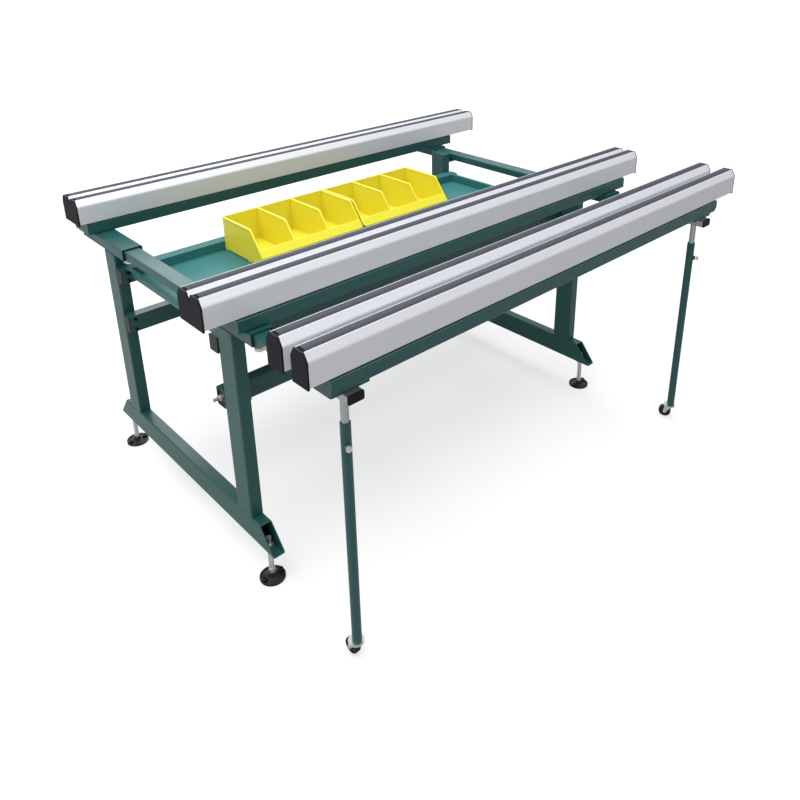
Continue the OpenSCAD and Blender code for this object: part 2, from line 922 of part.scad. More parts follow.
module washer(shaft_radius) {
    difference() {
        cylinder(r = 2 * shaft_radius, h = washer_thickness, $fn = arc_steps);
        translate([0, 0, -cut_over])
        cylinder(r = shaft_radius + running_gap, h = washer_thickness + 2 * cut_over,
                 $fn = arc_steps);
    }
}

// Socket-head bolt from the stretcher's inner face into the post, with its nut
module stretcher_bolt(x, z) {
    shaft = bolt_diameter / 2;
    post_inner = post_depth - frame_wall;
    head_end = stretcher_back + bolt_diameter;
    difference() {
        rod_y(stretcher_back, head_end, x, z, head_radius);
        translate([x, head_end - shaft, z])
        rotate([-90, 0, 0])
        cylinder(r = head_socket_radius, h = shaft + cut_over, $fn = 6);
    }
    rod_y(post_inner - bolt_nut - bolt_tail, stretcher_back + cut_over, x, z, shaft);
    translate([x, post_inner - bolt_nut, z])
    rotate([-90, 0, 0])
    hex_nut(bolt_nut, shaft);
}

// Stud through the open end of the front lower stretcher, with a nut on each side
module end_stud() {
    shaft = stud_diameter / 2;
    rod_x(-stud_reach, insert_inset + insert_thickness + stud_nut + 4,
          stretcher_mid_y, stud_z, shaft);
    for (x0 = [insert_inset - stud_nut, insert_inset + insert_thickness])
        translate([x0, stretcher_mid_y, stud_z])
        rotate([0, 90, 0])
        hex_nut(stud_nut, shaft);
}

module stretcher_bolts() {
    color(zinc) {
        for (x = bolt_columns)
            for (z = concat(upper_bolts, lower_bolts)) {
                stretcher_bolt(x, z);
                rear_side()
                stretcher_bolt(x, z);
            }
        end_stud();
        translate([frame_length, 0, 0])
        mirror([1, 0, 0])
        end_stud();
        translate([knob_under_x, stretcher_mid_y, lower_stretcher_lift - washer_thickness])
        washer(knob_shank_radius);
        translate([knob_under_x, stretcher_mid_y, lower_stretcher_lift + stretcher_wall])
        hex_nut(6, knob_shank_radius);
    }
}

// A sheet pan that hangs between the upper stretchers by its front and rear rims
module tray(x0, x1, left_is_end) {
    wall_y = stretcher_back + 0.5;
    wall_back = frame_depth - wall_y;
    floor_z = upper_stretcher_top - tray_depth;
    rim_top = upper_stretcher_top + tray_sheet;
    inner_rim = 12;
    rim_x0 = left_is_end ? x0 - inner_rim : x0;
    rim_x1 = left_is_end ? x1 : x1 + inner_rim;
    divider_x = left_is_end ? x1 - tray_sheet : x0;
    color(paint) {
        difference() {
            union() {
                block(x0, x1, wall_y, wall_back, floor_z, rim_top);
                block(rim_x0, rim_x1, stretcher_back - tray_rim, frame_depth - stretcher_back
                      + tray_rim, upper_stretcher_top, rim_top);
            }
            block(x0 + tray_sheet, x1 - tray_sheet, wall_y + tray_sheet, wall_back - tray_sheet,
                  floor_z + tray_sheet, rim_top + cut_over);
        }
        block(divider_x, divider_x + tray_sheet, wall_y, wall_back, floor_z,
              rim_top + tray_divider_rise);
    }
}

tray_split = tray_end_inset + left_tray_length;
tray_split_gap = 0.25;
tray_floor = upper_stretcher_top - tray_depth + tray_sheet;

module left_tray() {
    tray(tray_end_inset, tray_split - tray_split_gap, true);
}

module right_tray() {
    tray(tray_split + tray_split_gap, frame_length - tray_end_inset, false);
}

// Side view of a bin: u from the back to the front, v up. The front runs out to a nose,
// then back along a steep edge to the level top.
bin_slope = (bin_depth - bin_break_depth) / (bin_height - bin_nose_height);
bin_lean = bin_undercut / bin_nose_height;
bin_chamfer = 5;
rear_rim = 3;

function skewed(t, slope) = t * sqrt(1 + slope * slope);
function steep_u(v, t) = bin_depth - bin_slope * (v - bin_nose_height) - skewed(t, bin_slope);

module bin_side() {
    polygon([[0, 0], [bin_depth - bin_undercut, 0], [bin_depth, bin_nose_height],
             [steep_u(bin_height - bin_chamfer, 0), bin_height - bin_chamfer],
             [bin_break_depth - bin_chamfer, bin_height], [0, bin_height]]);
}

// Thick band along the level top and down the steep edge to the nose
module bin_rim_band() {
    low = bin_height - bin_rim;
    polygon([[0, low], [steep_u(low, bin_rim), low],
             [steep_u(bin_nose_height, bin_rim), bin_nose_height], [bin_depth, bin_nose_height],
             [steep_u(bin_height - bin_chamfer, 0), bin_height - bin_chamfer],
             [bin_break_depth - bin_chamfer, bin_height], [0, bin_height]]);
}

module bin_hollow() {
    t = bin_wall;
    floor_u = bin_depth - bin_undercut + bin_lean * t - skewed(t, bin_lean);
    nose_v = bin_nose_height
             + (skewed(t, bin_lean) - skewed(t, bin_slope)) / (bin_lean + bin_slope);
    far_u = bin_depth + cut_over;
    far_v = bin_height + cut_over;
    polygon([[t, t], [floor_u, t], [steep_u(nose_v, t), nose_v],
             [steep_u(bin_lip_height, t), bin_lip_height], [far_u, bin_lip_height],
             [far_u, far_v], [t, far_v]]);
}

module bins(x0) {
    back_y = frame_depth - stretcher_back - 0.5 - tray_sheet - 0.5;
    base_z = tray_floor + bin_runner_height;
    block_width = bins_in_block * bin_width;
    rim_side = 2;
    rear_runner = 16;
    front_runner_u = 0.6 * bin_depth;
    front_runner = 22;
    color(bin_yellow)
    translate([x0, back_y, base_z])
    mirror([0, 1, 0]) {
        difference() {
            along_x(rim_side, block_width - rim_side)
            bin_side();
            for (i = [0 : bins_in_block - 1])
                along_x(i * bin_width + bin_wall + (i == 0 ? rim_side : 0),
                        (i + 1) * bin_width - bin_wall - (i == bins_in_block - 1 ? rim_side : 0))
                bin_hollow();
        }
        for (edge = [0, block_width - bin_wall - 2 * rim_side])
            along_x(edge, edge + bin_wall + 2 * rim_side)
            bin_rim_band();
        for (i = [1 : bins_in_block - 1])
            along_x(i * bin_width - bin_wall - 1, i * bin_width + bin_wall + 1)
            bin_rim_band();
        block(0, block_width, -rear_rim, rear_rim, bin_height - bin_rim, bin_height);
        for (u = [[0, rear_runner], [front_runner_u, front_runner_u + front_runner]])
            block(rim_side + 1, block_width - rim_side - 1, u[0], u[1],
                  -bin_runner_height, bin_wall / 2);
    }
}

bin_wall_gap = tray_sheet + 1;

module left_bins() {
    bins(tray_split - bin_wall_gap - bins_in_block * bin_width);
}

module right_bins() {
    bins(tray_split + bin_wall_gap);
}

module leg_inner_tubes() {
    color(zinc)
    for (x = [left_leg_x, right_leg_x])
        along_z(leg_inner_bottom, slide_bottom)
        translate([x, leg_y])
        difference() {
            circle(d = leg_inner_diameter, $fn = arc_steps);
            circle(d = leg_inner_diameter - 2 * leg_inner_wall, $fn = arc_steps);
        }
}

// Outer leg tube with the caster's plug below and the clamp's nut at its side
module leg_tube(x, clamp_angle) {
    bore = leg_inner_diameter / 2 + running_gap;
    outer = leg_outer_diameter / 2;
    color(paint)
    translate([x, leg_y, 0])
    difference() {
        union() {
            rod_z(leg_tube_bottom, leg_tube_top, 0, 0, outer);
            rotate([0, 0, clamp_angle])
            translate([outer - 1.5, 0, leg_clamp_height])
            rotate([0, 90, 0])
            cylinder(r = leg_nut_radius, h = leg_nut_depth + 1.5, $fn = 6);
        }
        rod_z(leg_tube_bottom + leg_plug_length, leg_tube_top + cut_over, 0, 0, bore);
        rod_z(leg_tube_bottom - cut_over, leg_tube_bottom + leg_plug_length + cut_over, 0, 0,
              fork_stem_radius + running_gap);
        rotate([0, 0, clamp_angle])
        rod_x(bore / 2, outer + leg_nut_depth + cut_over, 0, leg_clamp_height,
              clamp_screw_radius + running_gap);
    }
}

module left_leg_tube() {
    leg_tube(left_leg_x, left_clamp_angle);
}

module right_leg_tube() {
    leg_tube(right_leg_x, right_clamp_angle);
}

// Hexagon screw through the leg's nut, its tip just off the inner tube
module leg_clamp(x, clamp_angle) {
    head_x = leg_outer_diameter / 2 + leg_nut_depth + leg_screw_reach;
    color(zinc)
    translate([x, leg_y, leg_clamp_height])
    rotate([0, 0, clamp_angle]) {
        rod_x(leg_inner_diameter / 2 + small_gap, head_x + cut_over, 0, 0, clamp_screw_radius);
        translate([head_x, 0, 0])
        rotate([0, 90, 0])
        cylinder(r = leg_head_radius, h = leg_head_length, $fn = 6);
    }
}

module left_leg_clamp() {
    leg_clamp(left_leg_x, left_clamp_angle);
}

module right_leg_clamp() {
    leg_clamp(right_leg_x, right_clamp_angle);
}

module caster_place(x, angle) {
    translate([x, leg_y, 0])
    rotate([0, 0, angle])
    children();
}

// Fork with round plate, stem, two cheeks and the axle
module caster_fork() {
    inner = wheel_width / 2 + fork_gap;
    color(zinc) {
        rod_z(fork_plate_bottom, fork_plate_top, fork_plate_shift, 0, fork_plate_radius);
        rod_z(fork_plate_bottom + cut_over, fork_plate_top + fork_stem_length, 0, 0,
              fork_stem_radius);
        for (y0 = [-inner - fork_sheet, inner])
            along_y(y0, y0 + fork_sheet) {
                polygon([[fork_cheek_rear, fork_plate_bottom + cut_over],
                         [fork_cheek_front, fork_plate_bottom + cut_over],
                         [caster_trail + fork_boss_radius, wheel_radius],
                         [caster_trail - fork_boss_radius, wheel_radius]]);
                translate([caster_trail, wheel_radius])
                circle(r = fork_boss_radius, $fn = arc_steps);
            }
        rod_y(-inner - fork_sheet - 2, inner + fork_sheet + 2, caster_trail, wheel_radius,
              axle_diameter / 2);
    }
}

module left_caster_fork() {
    caster_place(left_leg_x, left_trail_angle)
    caster_fork();
}

module right_caster_fork() {
    caster_place(right_leg_x, right_trail_angle)
    caster_fork();
}

// Wheel as a turned section with bevelled tread and dished sides
module caster_wheel() {
    half = wheel_width / 2;
    bore = axle_diameter / 2 + running_gap;
    dish = 3;
    color(tyre_black)
    translate([caster_trail, 0, wheel_radius])
    rotate([90, 0, 0])
    rotate_extrude($fn = arc_steps)
    polygon([[bore, -half], [bore + 4, -half], [bore + 5, -half + dish],
             [wheel_radius - 6, -half + dish], [wheel_radius - 5, -half + 1],
             [wheel_radius - 2, -half + 1], [wheel_radius, -half + 4],
             [wheel_radius, half - 4], [wheel_radius - 2, half - 1],
             [wheel_radius - 5, half - 1], [wheel_radius - 6, half - dish],
             [bore + 5, half - dish], [bore + 4, half], [bore, half]]);
}

module left_caster_wheel() {
    caster_place(left_leg_x, left_trail_angle)
    caster_wheel();
}

module right_caster_wheel() {
    caster_place(right_leg_x, right_trail_angle)
    caster_wheel();
}

stem_columns = bolt_columns;
pad_rim_height = 7;
pad_rim_wall = 3;
pad_hub_top = 18;
pad_collar_radius = pad_hole_diameter / 2 + 4.5;
pad_collar_top = 14;
pad_bore_bottom = 6;
neck_radius = stem_diameter / 2 - 2;
collar_bottom = 22;
collar_top = 36;

// Stem with a thin neck in its pad and a collar above it
module foot_stem(x, y) {
    color(zinc)
    translate([x, y, 0]) {
        rod_z(pad_bore_bottom, collar_bottom + cut_over, 0, 0, neck_radius);
        rod_z(collar_bottom, collar_top, 0, 0, collar_diameter / 2);
        rod_z(collar_top - cut_over, stem_top, 0, 0, stem_diameter / 2);
    }
}

// Round rimmed pad with two raised floor holes and a hub that takes the stem's neck
module foot_pad(x, y) {
    rim = pad_diameter / 2;
    bore = neck_radius + running_gap;
    color(black_plastic)
    translate([x, y, 0])
    difference() {
        union() {
            rotate_extrude($fn = arc_steps)
            polygon([[0, 0], [rim, 0], [rim, pad_rim_height], [rim - pad_rim_wall, pad_rim_height],
                     [rim - pad_rim_wall - 1, pad_rim_height - 3], [bore + 7, pad_rim_height + 2],
                     [bore + 4, pad_hub_top], [0, pad_hub_top]]);
            for (side = [-1, 1])
                rod_z(0, pad_collar_top, side * pad_hole_spacing / 2, 0, pad_collar_radius);
        }
        rod_z(pad_bore_bottom, pad_hub_top + cut_over, 0, 0, bore);
        for (side = [-1, 1])
            rod_z(-cut_over, pad_collar_top + cut_over, side * pad_hole_spacing / 2, 0,
                  pad_hole_diameter / 2);
    }
}

// Two nuts on each stem, one in the foot beam and one under it
module foot_nuts() {
    shaft = stem_diameter / 2;
    color(zinc)
    for (x = stem_columns)
        for (y = [stem_front_y, stem_rear_y])
            for (z = [foot_beam_lift - stem_nut_height, foot_beam_lift + frame_wall])
                translate([x, y, z])
                difference() {
                    cylinder(r = shaft * 1.8, h = stem_nut_height, $fn = 6);
                    translate([0, 0, -cut_over])
                    cylinder(r = shaft + running_gap, h = stem_nut_height + 2 * cut_over,
                             $fn = arc_steps);
                }
}

module left_foot_beam() {
    foot_beam(0);
}

module right_foot_beam() {
    foot_beam(right_frame_x);
}

module left_crossbeam() {
    crossbeam(0);
}

module right_crossbeam() {
    crossbeam(right_sleeve_x);
}

module left_slide_tube() {
    slide_tube(left_leg_x);
}

module right_slide_tube() {
    slide_tube(right_leg_x);
}

module left_front_clamp() {
    sleeve_clamp(left_leg_x, front_clamp_y);
}

module left_rear_clamp() {
    sleeve_clamp(left_leg_x, left_rear_clamp_y);
}

module right_front_clamp() {
    sleeve_clamp(right_leg_x, front_clamp_y);
}

module right_rear_clamp() {
    sleeve_clamp(right_leg_x, right_rear_clamp_y);
}

module left_front_stem() {
    foot_stem(stem_columns[0], stem_front_y);
}

module left_rear_stem() {
    foot_stem(stem_columns[0], stem_rear_y);
}

module right_front_stem() {
    foot_stem(stem_columns[1], stem_front_y);
}

module right_rear_stem() {
    foot_stem(stem_columns[1], stem_rear_y);
}

module left_front_pad() {
    foot_pad(stem_columns[0], stem_front_y);
}

module left_rear_pad() {
    foot_pad(stem_columns[0], stem_rear_y);
}

module right_front_pad() {
    foot_pad(stem_columns[1], stem_front_y);
}

module right_rear_pad() {
    foot_pad(stem_columns[1], stem_rear_y);
}

place() {
    left_foot_beam();
    right_foot_beam();
    left_front_post();
    left_rear_post();
    right_front_post();
    right_rear_post();
    left_front_sleeve();
    left_rear_sleeve();
    right_front_sleeve();
    right_rear_sleeve();
    left_crossbeam();
    right_crossbeam();
    front_upper_stretcher();
    rear_upper_stretcher();
    front_lower_stretcher();
    rear_lower_stretcher();
    stretcher_end_plugs();
    stretcher_bolts();
    left_tray();
    right_tray();
    front_beam();
    rear_beam();
    front_profile_outer();
    front_profile_inner();
    rear_profile_inner();
    rear_profile_outer();
    bench_strips();
    bench_end_caps();
    foot_nuts();
    left_bins();
    right_bins();
    left_front_stem();
    left_rear_stem();
    right_front_stem();
    right_rear_stem();
    left_front_pad();
    left_rear_pad();
    right_front_pad();
    right_rear_pad();
    left_front_clamp();
    left_rear_clamp();
    right_front_clamp();
    right_rear_clamp();
    left_slide_tube();
    right_slide_tube();
    extension_beam();
    extension_mount_plates();
    extension_profile_front();
    extension_profile_rear();
    extension_strips();
    extension_plastic_caps();
    leg_inner_tubes();
    left_leg_tube();
    right_leg_tube();
    left_leg_clamp();
    right_leg_clamp();
    left_caster_fork();
    right_caster_fork();
    left_caster_wheel();
    right_caster_wheel();
}
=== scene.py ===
"""Dresses the extending assembly bench and sets it in a plain bright studio."""

import math

import bpy
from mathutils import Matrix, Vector

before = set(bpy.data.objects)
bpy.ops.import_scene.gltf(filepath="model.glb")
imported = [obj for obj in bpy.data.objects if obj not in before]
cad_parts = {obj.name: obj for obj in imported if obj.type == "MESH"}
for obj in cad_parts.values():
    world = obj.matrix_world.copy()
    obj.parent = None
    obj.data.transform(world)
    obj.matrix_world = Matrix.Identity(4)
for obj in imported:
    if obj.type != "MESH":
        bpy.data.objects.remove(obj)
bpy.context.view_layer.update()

bl_info = {
    "name": "Extending Assembly Bench",
    "version": (1, 0, 0),
    "blender": (4, 5, 0),
    "location": "3D View > Sidebar > Bench",
    "description": "Finishes the pieces of an extending assembly bench and lights it",
    "category": "Object",
}

MM = 0.001
# The middle of the steel frame along the bench. Of the stretchers' bolts, only the two
# bright studs in the open tube ends reach further from it than this.
FRAME_MIDDLE = -84 * MM
STUD_REACH = 773.5 * MM
# Paints and plastics bend light alike.
RESIN_IOR = 1.5
# Zinc plate and black oxide scatter a little light above the metal.
PLATE_METALLIC = 0.9
# A wave texture of scale 1 repeats every 0.314 m.
WAVE_PERIOD = 0.314
# The dusty places of a strip are this much lighter than the clean ones.
DUST = 1.35
WHITE = "#ffffff"
FLOOR_SHADE = "#b4b4b4"
# The floor lies this far below the feet, so that no face lies in it.
FLOOR_GAP = 0.5 * MM
# What the floor adds to its own shade to look white: little by the bench, where the
# lamps light it and its shadow stays, more far from the lamps, and least in reflections.
NEAR_GLOW = 0.55
FAR_GLOW = 0.85
MIRRORED_GLOW = 0.1
# The glow rises between these distances from the middle of the bench, in metres.
NEAR_FLOOR = 2.0
FAR_FLOOR = 6.0
# The photograph's view: place in metres, turn in degrees, and how far the picture is
# shifted across and up, in shares of its width.
CAMERA_PLACE = (-1.7366, -1.9358, 1.8086)
CAMERA_TURN = (68.1598, 0.4206, -43.437)
CAMERA_SHIFT = (-0.0325, -0.20)
SENSOR_MM = 36.0

PAINTED = (
    "left_foot_beam", "right_foot_beam", "left_front_post", "left_rear_post",
    "right_front_post", "right_rear_post", "left_front_sleeve", "left_rear_sleeve",
    "right_front_sleeve", "right_rear_sleeve", "left_crossbeam", "right_crossbeam",
    "front_upper_stretcher", "rear_upper_stretcher", "front_lower_stretcher",
    "rear_lower_stretcher", "front_beam", "rear_beam", "extension_beam",
    "extension_mount_plates", "left_leg_tube", "right_leg_tube",
)
TRAYS = ("left_tray", "right_tray")
PROFILES = (
    "front_profile_outer", "front_profile_inner", "rear_profile_inner",
    "rear_profile_outer", "extension_profile_front", "extension_profile_rear",
)
STRIPS = ("bench_strips", "extension_strips")
CAPS = ("bench_end_caps", "extension_plastic_caps")
PLUGS = ("stretcher_end_plugs",)
BINS = ("left_bins", "right_bins")
SLIDES = ("left_slide_tube", "right_slide_tube", "leg_inner_tubes")
PADS = ("left_front_pad", "left_rear_pad", "right_front_pad", "right_rear_pad")
BOLTS = ("stretcher_bolts",)
HARDWARE = (
    "foot_nuts", "left_leg_clamp", "right_leg_clamp",
    "left_caster_fork", "right_caster_fork",
    "left_front_clamp", "left_rear_clamp", "right_front_clamp", "right_rear_clamp",
    "left_front_stem", "left_rear_stem", "right_front_stem", "right_rear_stem",
)
WHEELS = ("left_caster_wheel", "right_caster_wheel")


def shade(code):
    """An sRGB hex code as three values from 0 to 1, which a colour property takes."""
    return tuple(int(code[i:i + 2], 16) / 255 for i in (1, 3, 5))


def hex_of(colour):
    """A colour property as the sRGB hex code that linear() takes."""
    return "#" + "".join("%02x" % round(v * 255) for v in colour)


def linear(code):
    """An sRGB hex code as linear RGBA."""
    return tuple(v / 12.92 if v <= 0.04045 else ((v + 0.055) / 1.055) ** 2.4
                 for v in shade(code)) + (1.0,)


def add_node(tree, kind, inputs=None, **settings):
    """Adds a node, sets its settings, and sets or links its inputs."""
    made = tree.nodes.new(kind)
    for name, value in settings.items():
        setattr(made, name, value)
    for name, value in (inputs or {}).items():
        if isinstance(value, bpy.types.NodeSocket):
            tree.links.new(value, made.inputs[name])
        else:
            made.inputs[name].default_value = value
    return made


def new_material(name):
    """An empty node material and its output node."""
    made = bpy.data.materials.new(name)
    made.use_nodes = True
    made.node_tree.nodes.clear()
    out = made.node_tree.nodes.new("ShaderNodeOutputMaterial")
    return made, made.node_tree, out


def powder_coat(name, code, roughness):
    """Powder-coated steel: an even coat whose faint orange peel softens reflections."""
    peel_size = 2.5 * MM
    peel_depth = 0.2 * MM
    patch_size = 160 * MM
    smoother, rougher = roughness - 0.05, roughness + 0.07
    made, tree, out = new_material(name)
    place = add_node(tree, "ShaderNodeTexCoord")
    peel = add_node(tree, "ShaderNodeTexNoise",
                    {"Vector": place.outputs["Object"], "Scale": 1 / peel_size, "Detail": 2.0})
    bump = add_node(tree, "ShaderNodeBump",
                    {"Height": peel.outputs["Fac"], "Strength": 0.06, "Distance": peel_depth})
    cloud = add_node(tree, "ShaderNodeTexNoise",
                     {"Vector": place.outputs["Object"], "Scale": 1 / patch_size,
                      "Detail": 3.0})
    rough = add_node(tree, "ShaderNodeMapRange",
                     {"Value": cloud.outputs["Fac"], "To Min": smoother, "To Max": rougher})
    shader = add_node(tree, "ShaderNodeBsdfPrincipled",
                      {"Base Color": linear(code), "Roughness": rough.outputs["Result"],
                       "IOR": RESIN_IOR, "Specular IOR Level": 0.33,
                       "Normal": bump.outputs["Normal"]})
    tree.links.new(shader.outputs["BSDF"], out.inputs["Surface"])
    return made


def extruded_aluminium(code):
    """Anodised aluminium: satin metal with faint die lines along the extrusion."""
    # Real die lines are finer and would not show, so these are drawn this far apart.
    line_width = 2.0 * MM
    line_depth = 0.1 * MM
    # Lines a hundred times as long as they are wide.
    along = (0.01, 1.0, 1.0)
    # The clear layer over the metal scatters light, so that it looks only half metallic.
    metallic = 0.5
    smoothest, roughest = 0.45, 0.58
    made, tree, out = new_material("Satin anodised aluminium, extruded")
    place = add_node(tree, "ShaderNodeTexCoord")
    stretch = add_node(tree, "ShaderNodeMapping",
                       {"Vector": place.outputs["Object"], "Scale": along})
    lines = add_node(tree, "ShaderNodeTexNoise",
                     {"Vector": stretch.outputs["Vector"], "Scale": 1 / line_width,
                      "Detail": 3.0})
    rough = add_node(tree, "ShaderNodeMapRange",
                     {"Value": lines.outputs["Fac"], "To Min": smoothest, "To Max": roughest})
    bump = add_node(tree, "ShaderNodeBump",
                    {"Height": lines.outputs["Fac"], "Strength": 0.05, "Distance": line_depth})
    shader = add_node(tree, "ShaderNodeBsdfPrincipled",
                      {"Base Color": linear(code), "Metallic": metallic,
                       "Roughness": rough.outputs["Result"], "Normal": bump.outputs["Normal"]})
    tree.links.new(shader.outputs["BSDF"], out.inputs["Surface"])
    return made


def moulded_plastic(name, code, roughness, grain_mm, strength, gloss=0.25):
    """Moulded plastic or rubber: one colour right through, with the mould's fine grain."""
    # The grain of a real mould is finer and would not show, so grain_mm is larger.
    grain_depth = 0.2 * MM
    made, tree, out = new_material(name)
    place = add_node(tree, "ShaderNodeTexCoord")
    grain = add_node(tree, "ShaderNodeTexNoise",
                     {"Vector": place.outputs["Object"], "Scale": 1 / (grain_mm * MM),
                      "Detail": 2.0})
    bump = add_node(tree, "ShaderNodeBump",
                    {"Height": grain.outputs["Fac"], "Strength": strength,
                     "Distance": grain_depth})
    shader = add_node(tree, "ShaderNodeBsdfPrincipled",
                      {"Base Color": linear(code), "Roughness": roughness, "IOR": RESIN_IOR,
                       "Specular IOR Level": gloss, "Normal": bump.outputs["Normal"]})
    tree.links.new(shader.outputs["BSDF"], out.inputs["Surface"])
    return made


def ribbed_strip(name, code, pitch):
    """Soft PVC drawn through a ribbed die: fine ribs along it and a dull, dusty skin."""
    rib_depth = 0.3 * MM
    dust_size = 9 * MM
    dusty = tuple(v * DUST for v in linear(code)[:3]) + (1.0,)
    made, tree, out = new_material(name)
    place = add_node(tree, "ShaderNodeTexCoord")
    ribs = add_node(tree, "ShaderNodeTexWave",
                    {"Vector": place.outputs["Object"], "Scale": WAVE_PERIOD / pitch},
                    wave_type="BANDS", bands_direction="Y", wave_profile="SIN")
    dust = add_node(tree, "ShaderNodeTexNoise",
                    {"Vector": place.outputs["Object"], "Scale": 1 / dust_size, "Detail": 3.0})
    tint = add_node(tree, "ShaderNodeMixRGB",
                    {"Fac": dust.outputs["Fac"], "Color1": linear(code), "Color2": dusty})
    bump = add_node(tree, "ShaderNodeBump",
                    {"Height": ribs.outputs["Fac"], "Strength": 0.5, "Distance": rib_depth})
    shader = add_node(tree, "ShaderNodeBsdfPrincipled",
                      {"Base Color": tint.outputs["Color"], "Roughness": 0.6, "IOR": RESIN_IOR,
                       "Specular IOR Level": 0.15, "Normal": bump.outputs["Normal"]})
    tree.links.new(shader.outputs["BSDF"], out.inputs["Surface"])
    return made


def zinc_plate(name, code, roughness):
    """Zinc-plated steel: bright grey metal, a little cloudy from the bath."""
    patch_size = 12 * MM
    smoother, rougher = roughness - 0.06, roughness + 0.08
    made, tree, out = new_material(name)
    place = add_node(tree, "ShaderNodeTexCoord")
    cloud = add_node(tree, "ShaderNodeTexNoise",
                     {"Vector": place.outputs["Object"], "Scale": 1 / patch_size,
                      "Detail": 4.0})
    rough = add_node(tree, "ShaderNodeMapRange",
                     {"Value": cloud.outputs["Fac"], "To Min": smoother, "To Max": rougher})
    shader = add_node(tree, "ShaderNodeBsdfPrincipled",
                      {"Base Color": linear(code), "Metallic": PLATE_METALLIC,
                       "Roughness": rough.outputs["Result"]})
    tree.links.new(shader.outputs["BSDF"], out.inputs["Surface"])
    return made


def black_bolts(name, black, bright):
    """Black-oxide socket bolts; the two studs at the outer ends are bright zinc."""
    made, tree, out = new_material(name)
    place = add_node(tree, "ShaderNodeTexCoord")
    parts = add_node(tree, "ShaderNodeSeparateXYZ", {"Vector": place.outputs["Object"]})
    offset = add_node(tree, "ShaderNodeMath", {0: parts.outputs["X"], 1: FRAME_MIDDLE},
                      operation="SUBTRACT")
    reach = add_node(tree, "ShaderNodeMath", {0: offset.outputs[0]}, operation="ABSOLUTE")
    outside = add_node(tree, "ShaderNodeMath", {0: reach.outputs[0], 1: STUD_REACH},
                       operation="GREATER_THAN")
    tint = add_node(tree, "ShaderNodeMixRGB",
                    {"Fac": outside.outputs[0], "Color1": linear(black),
                     "Color2": linear(bright)})
    shader = add_node(tree, "ShaderNodeBsdfPrincipled",
                      {"Base Color": tint.outputs["Color"], "Metallic": PLATE_METALLIC,
                       "Roughness": 0.4})
    tree.links.new(shader.outputs["BSDF"], out.inputs["Surface"])
    return made


def dress(nodes, material):
    """Puts one material in every slot of the named solids."""
    for name in nodes:
        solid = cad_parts[name]
        if not solid.material_slots:
            solid.data.materials.append(material)
        for place in solid.material_slots:
            place.material = material


def colour_property(name, description, code):
    """A colour that a user may change, with its default as an sRGB hex code."""
    return bpy.props.FloatVectorProperty(
        name=name, description=description, subtype="COLOR_GAMMA", size=3, min=0.0, max=1.0,
        default=shade(code))


class BenchFinishes(bpy.types.PropertyGroup):
    """Colours of the finishes, and the ribs of the grip strips"""
    paint: colour_property("Paint", "Powder coat of the steel frame", "#1d4c4a")
    # The trays wear the frame's paint; this lighter shade of it is painted light, standing in
    # for the light that falls on them from above.
    lit_tray_paint: colour_property("Tray paint", "Powder coat of the sheet trays", "#2e6b6c")
    aluminium: colour_property("Aluminium", "Anodised support profiles", "#cfd1d6")
    strip: colour_property("Strips", "Grip strips on the profiles", "#34353e")
    cap: colour_property("Caps", "End caps of the profiles", "#101015")
    plug: colour_property("Plugs", "Plugs in the stretchers and foot pads", "#191a1c")
    bin: colour_property("Bins", "Storage bins", "#e1d63a")
    tube: colour_property("Bright tubes", "Slide tubes and inner leg tubes", "#a3a6a9")
    # The turned parts are zinc plate like the tubes; their lighter shade is painted light,
    # lifting the nuts that sit in shade in the feet.
    zinc: colour_property("Zinc", "Stems, clamp screws, nuts and forks", "#c4c7ca")
    bolt: colour_property("Bolts", "Black socket bolts of the stretchers", "#1a1b1d")
    tyre: colour_property("Tyre", "Caster wheels", "#1c1c1e")
    # Real ribs can be finer and would not show, so these are as coarse as a near view needs.
    rib_pitch: bpy.props.FloatProperty(
        name="Strip ribs", description="Distance between the ribs of the grip strips",
        default=3.0 * MM, min=0.5 * MM, unit="LENGTH")


class BenchStage(bpy.types.PropertyGroup):
    """Size of the floor, strength of the lights and the camera's lens"""
    floor_size: bpy.props.FloatProperty(
        name="Floor", description="Side of the pale floor", default=80.0, min=6.0,
        unit="LENGTH")
    key_power: bpy.props.FloatProperty(
        name="Key lamp", description="Power of the wide lamp over the bench",
        default=330.0, min=0.0, unit="POWER")
    fill_power: bpy.props.FloatProperty(
        name="Fill lamp", description="Power of the soft lamp beside the left end",
        default=75.0, min=0.0, unit="POWER")
    back_power: bpy.props.FloatProperty(
        name="Back lamp", description="Power of the soft lamp behind the bench",
        default=115.0, min=0.0, unit="POWER")
    sky: bpy.props.FloatProperty(
        name="Room light", description="Strength of the white room around the bench",
        default=0.4, min=0.0, max=2.0)
    lens: bpy.props.FloatProperty(
        name="Lens", description="Focal length on a 36 mm sensor", default=34.81, min=10.0,
        unit="CAMERA")


class BENCH_OT_frame(bpy.types.Operator):
    """Powder-coats the steel tubes and plates of the frame and the telescopes"""
    bl_idname = "bench.frame"
    bl_label = "Steel frame"

    def execute(self, context):
        finishes = context.scene.bench_finishes
        dress(PAINTED, powder_coat("Semi-gloss powder coat on steel tube",
                                   hex_of(finishes.paint), roughness=0.34))
        return {"FINISHED"}


class BENCH_OT_trays(bpy.types.Operator):
    """Powder-coats the two sheet trays in the frame's paint made lighter, as painted light
    from above
    """
    bl_idname = "bench.trays"
    bl_label = "Sheet trays"

    def execute(self, context):
        finishes = context.scene.bench_finishes
        dress(TRAYS, powder_coat("Semi-gloss powder coat on sheet, lightened as painted light",
                                 hex_of(finishes.lit_tray_paint), roughness=0.42))
        return {"FINISHED"}


class BENCH_OT_profiles(bpy.types.Operator):
    """Anodises the six support profiles"""
    bl_idname = "bench.profiles"
    bl_label = "Support profiles"

    def execute(self, context):
        dress(PROFILES, extruded_aluminium(hex_of(context.scene.bench_finishes.aluminium)))
        return {"FINISHED"}


